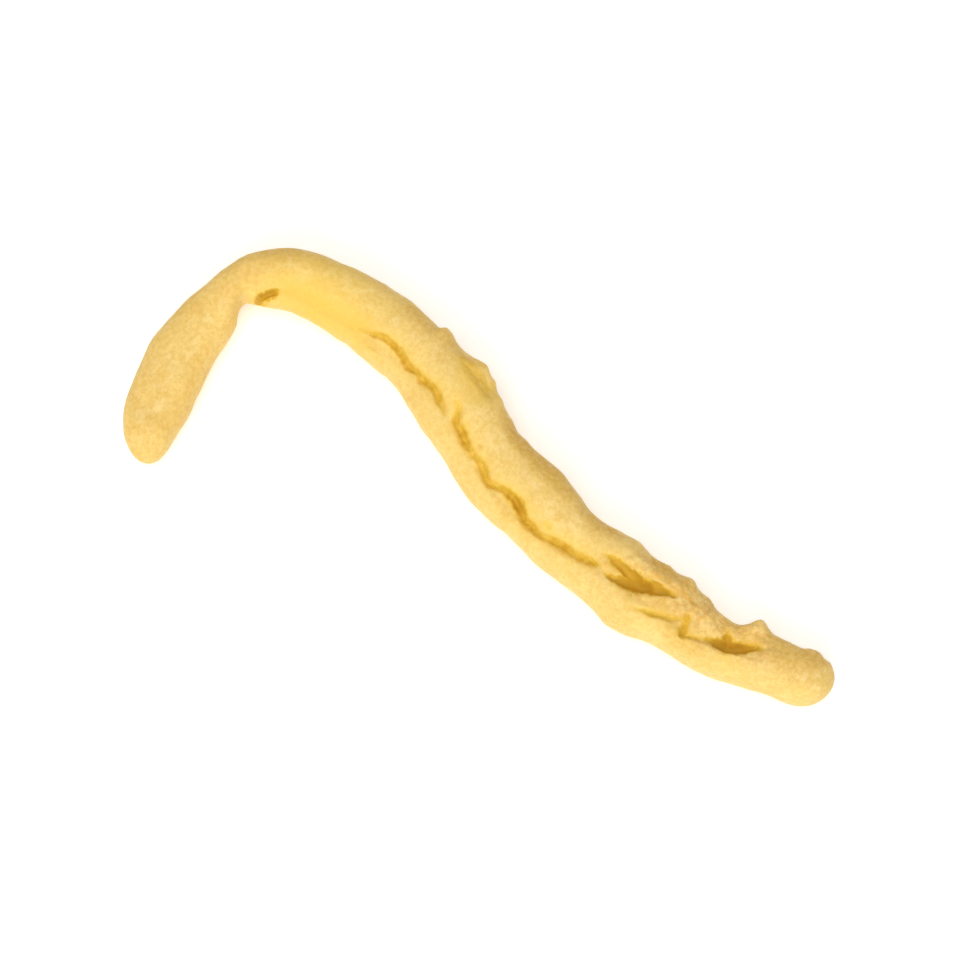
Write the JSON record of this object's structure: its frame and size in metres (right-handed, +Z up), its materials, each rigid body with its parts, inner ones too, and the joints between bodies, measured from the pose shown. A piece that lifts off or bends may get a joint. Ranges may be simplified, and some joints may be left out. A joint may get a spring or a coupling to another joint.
{
  "type": "spaetzle",
  "caption": "Single hand-scraped egg noodle: smooth paddle end, sharp bend and a long folded strand with an open crack, a torn hollow and a blunt far end.",
  "frame": {"origin": "middle of the bounding box's bottom face, on the plane the noodle lies on", "axes": "+X from the paddle to the far end, +Y towards the bend, +Z up from the plane it lies on"},
  "size_m": [0.0498, 0.0329, 0.0052],
  "materials": {
    "dough": "matte, fine-grained egg dough"
  },
  "bodies": {
    "root": {"noodle": "dough"}
  },
  "joints": []
}
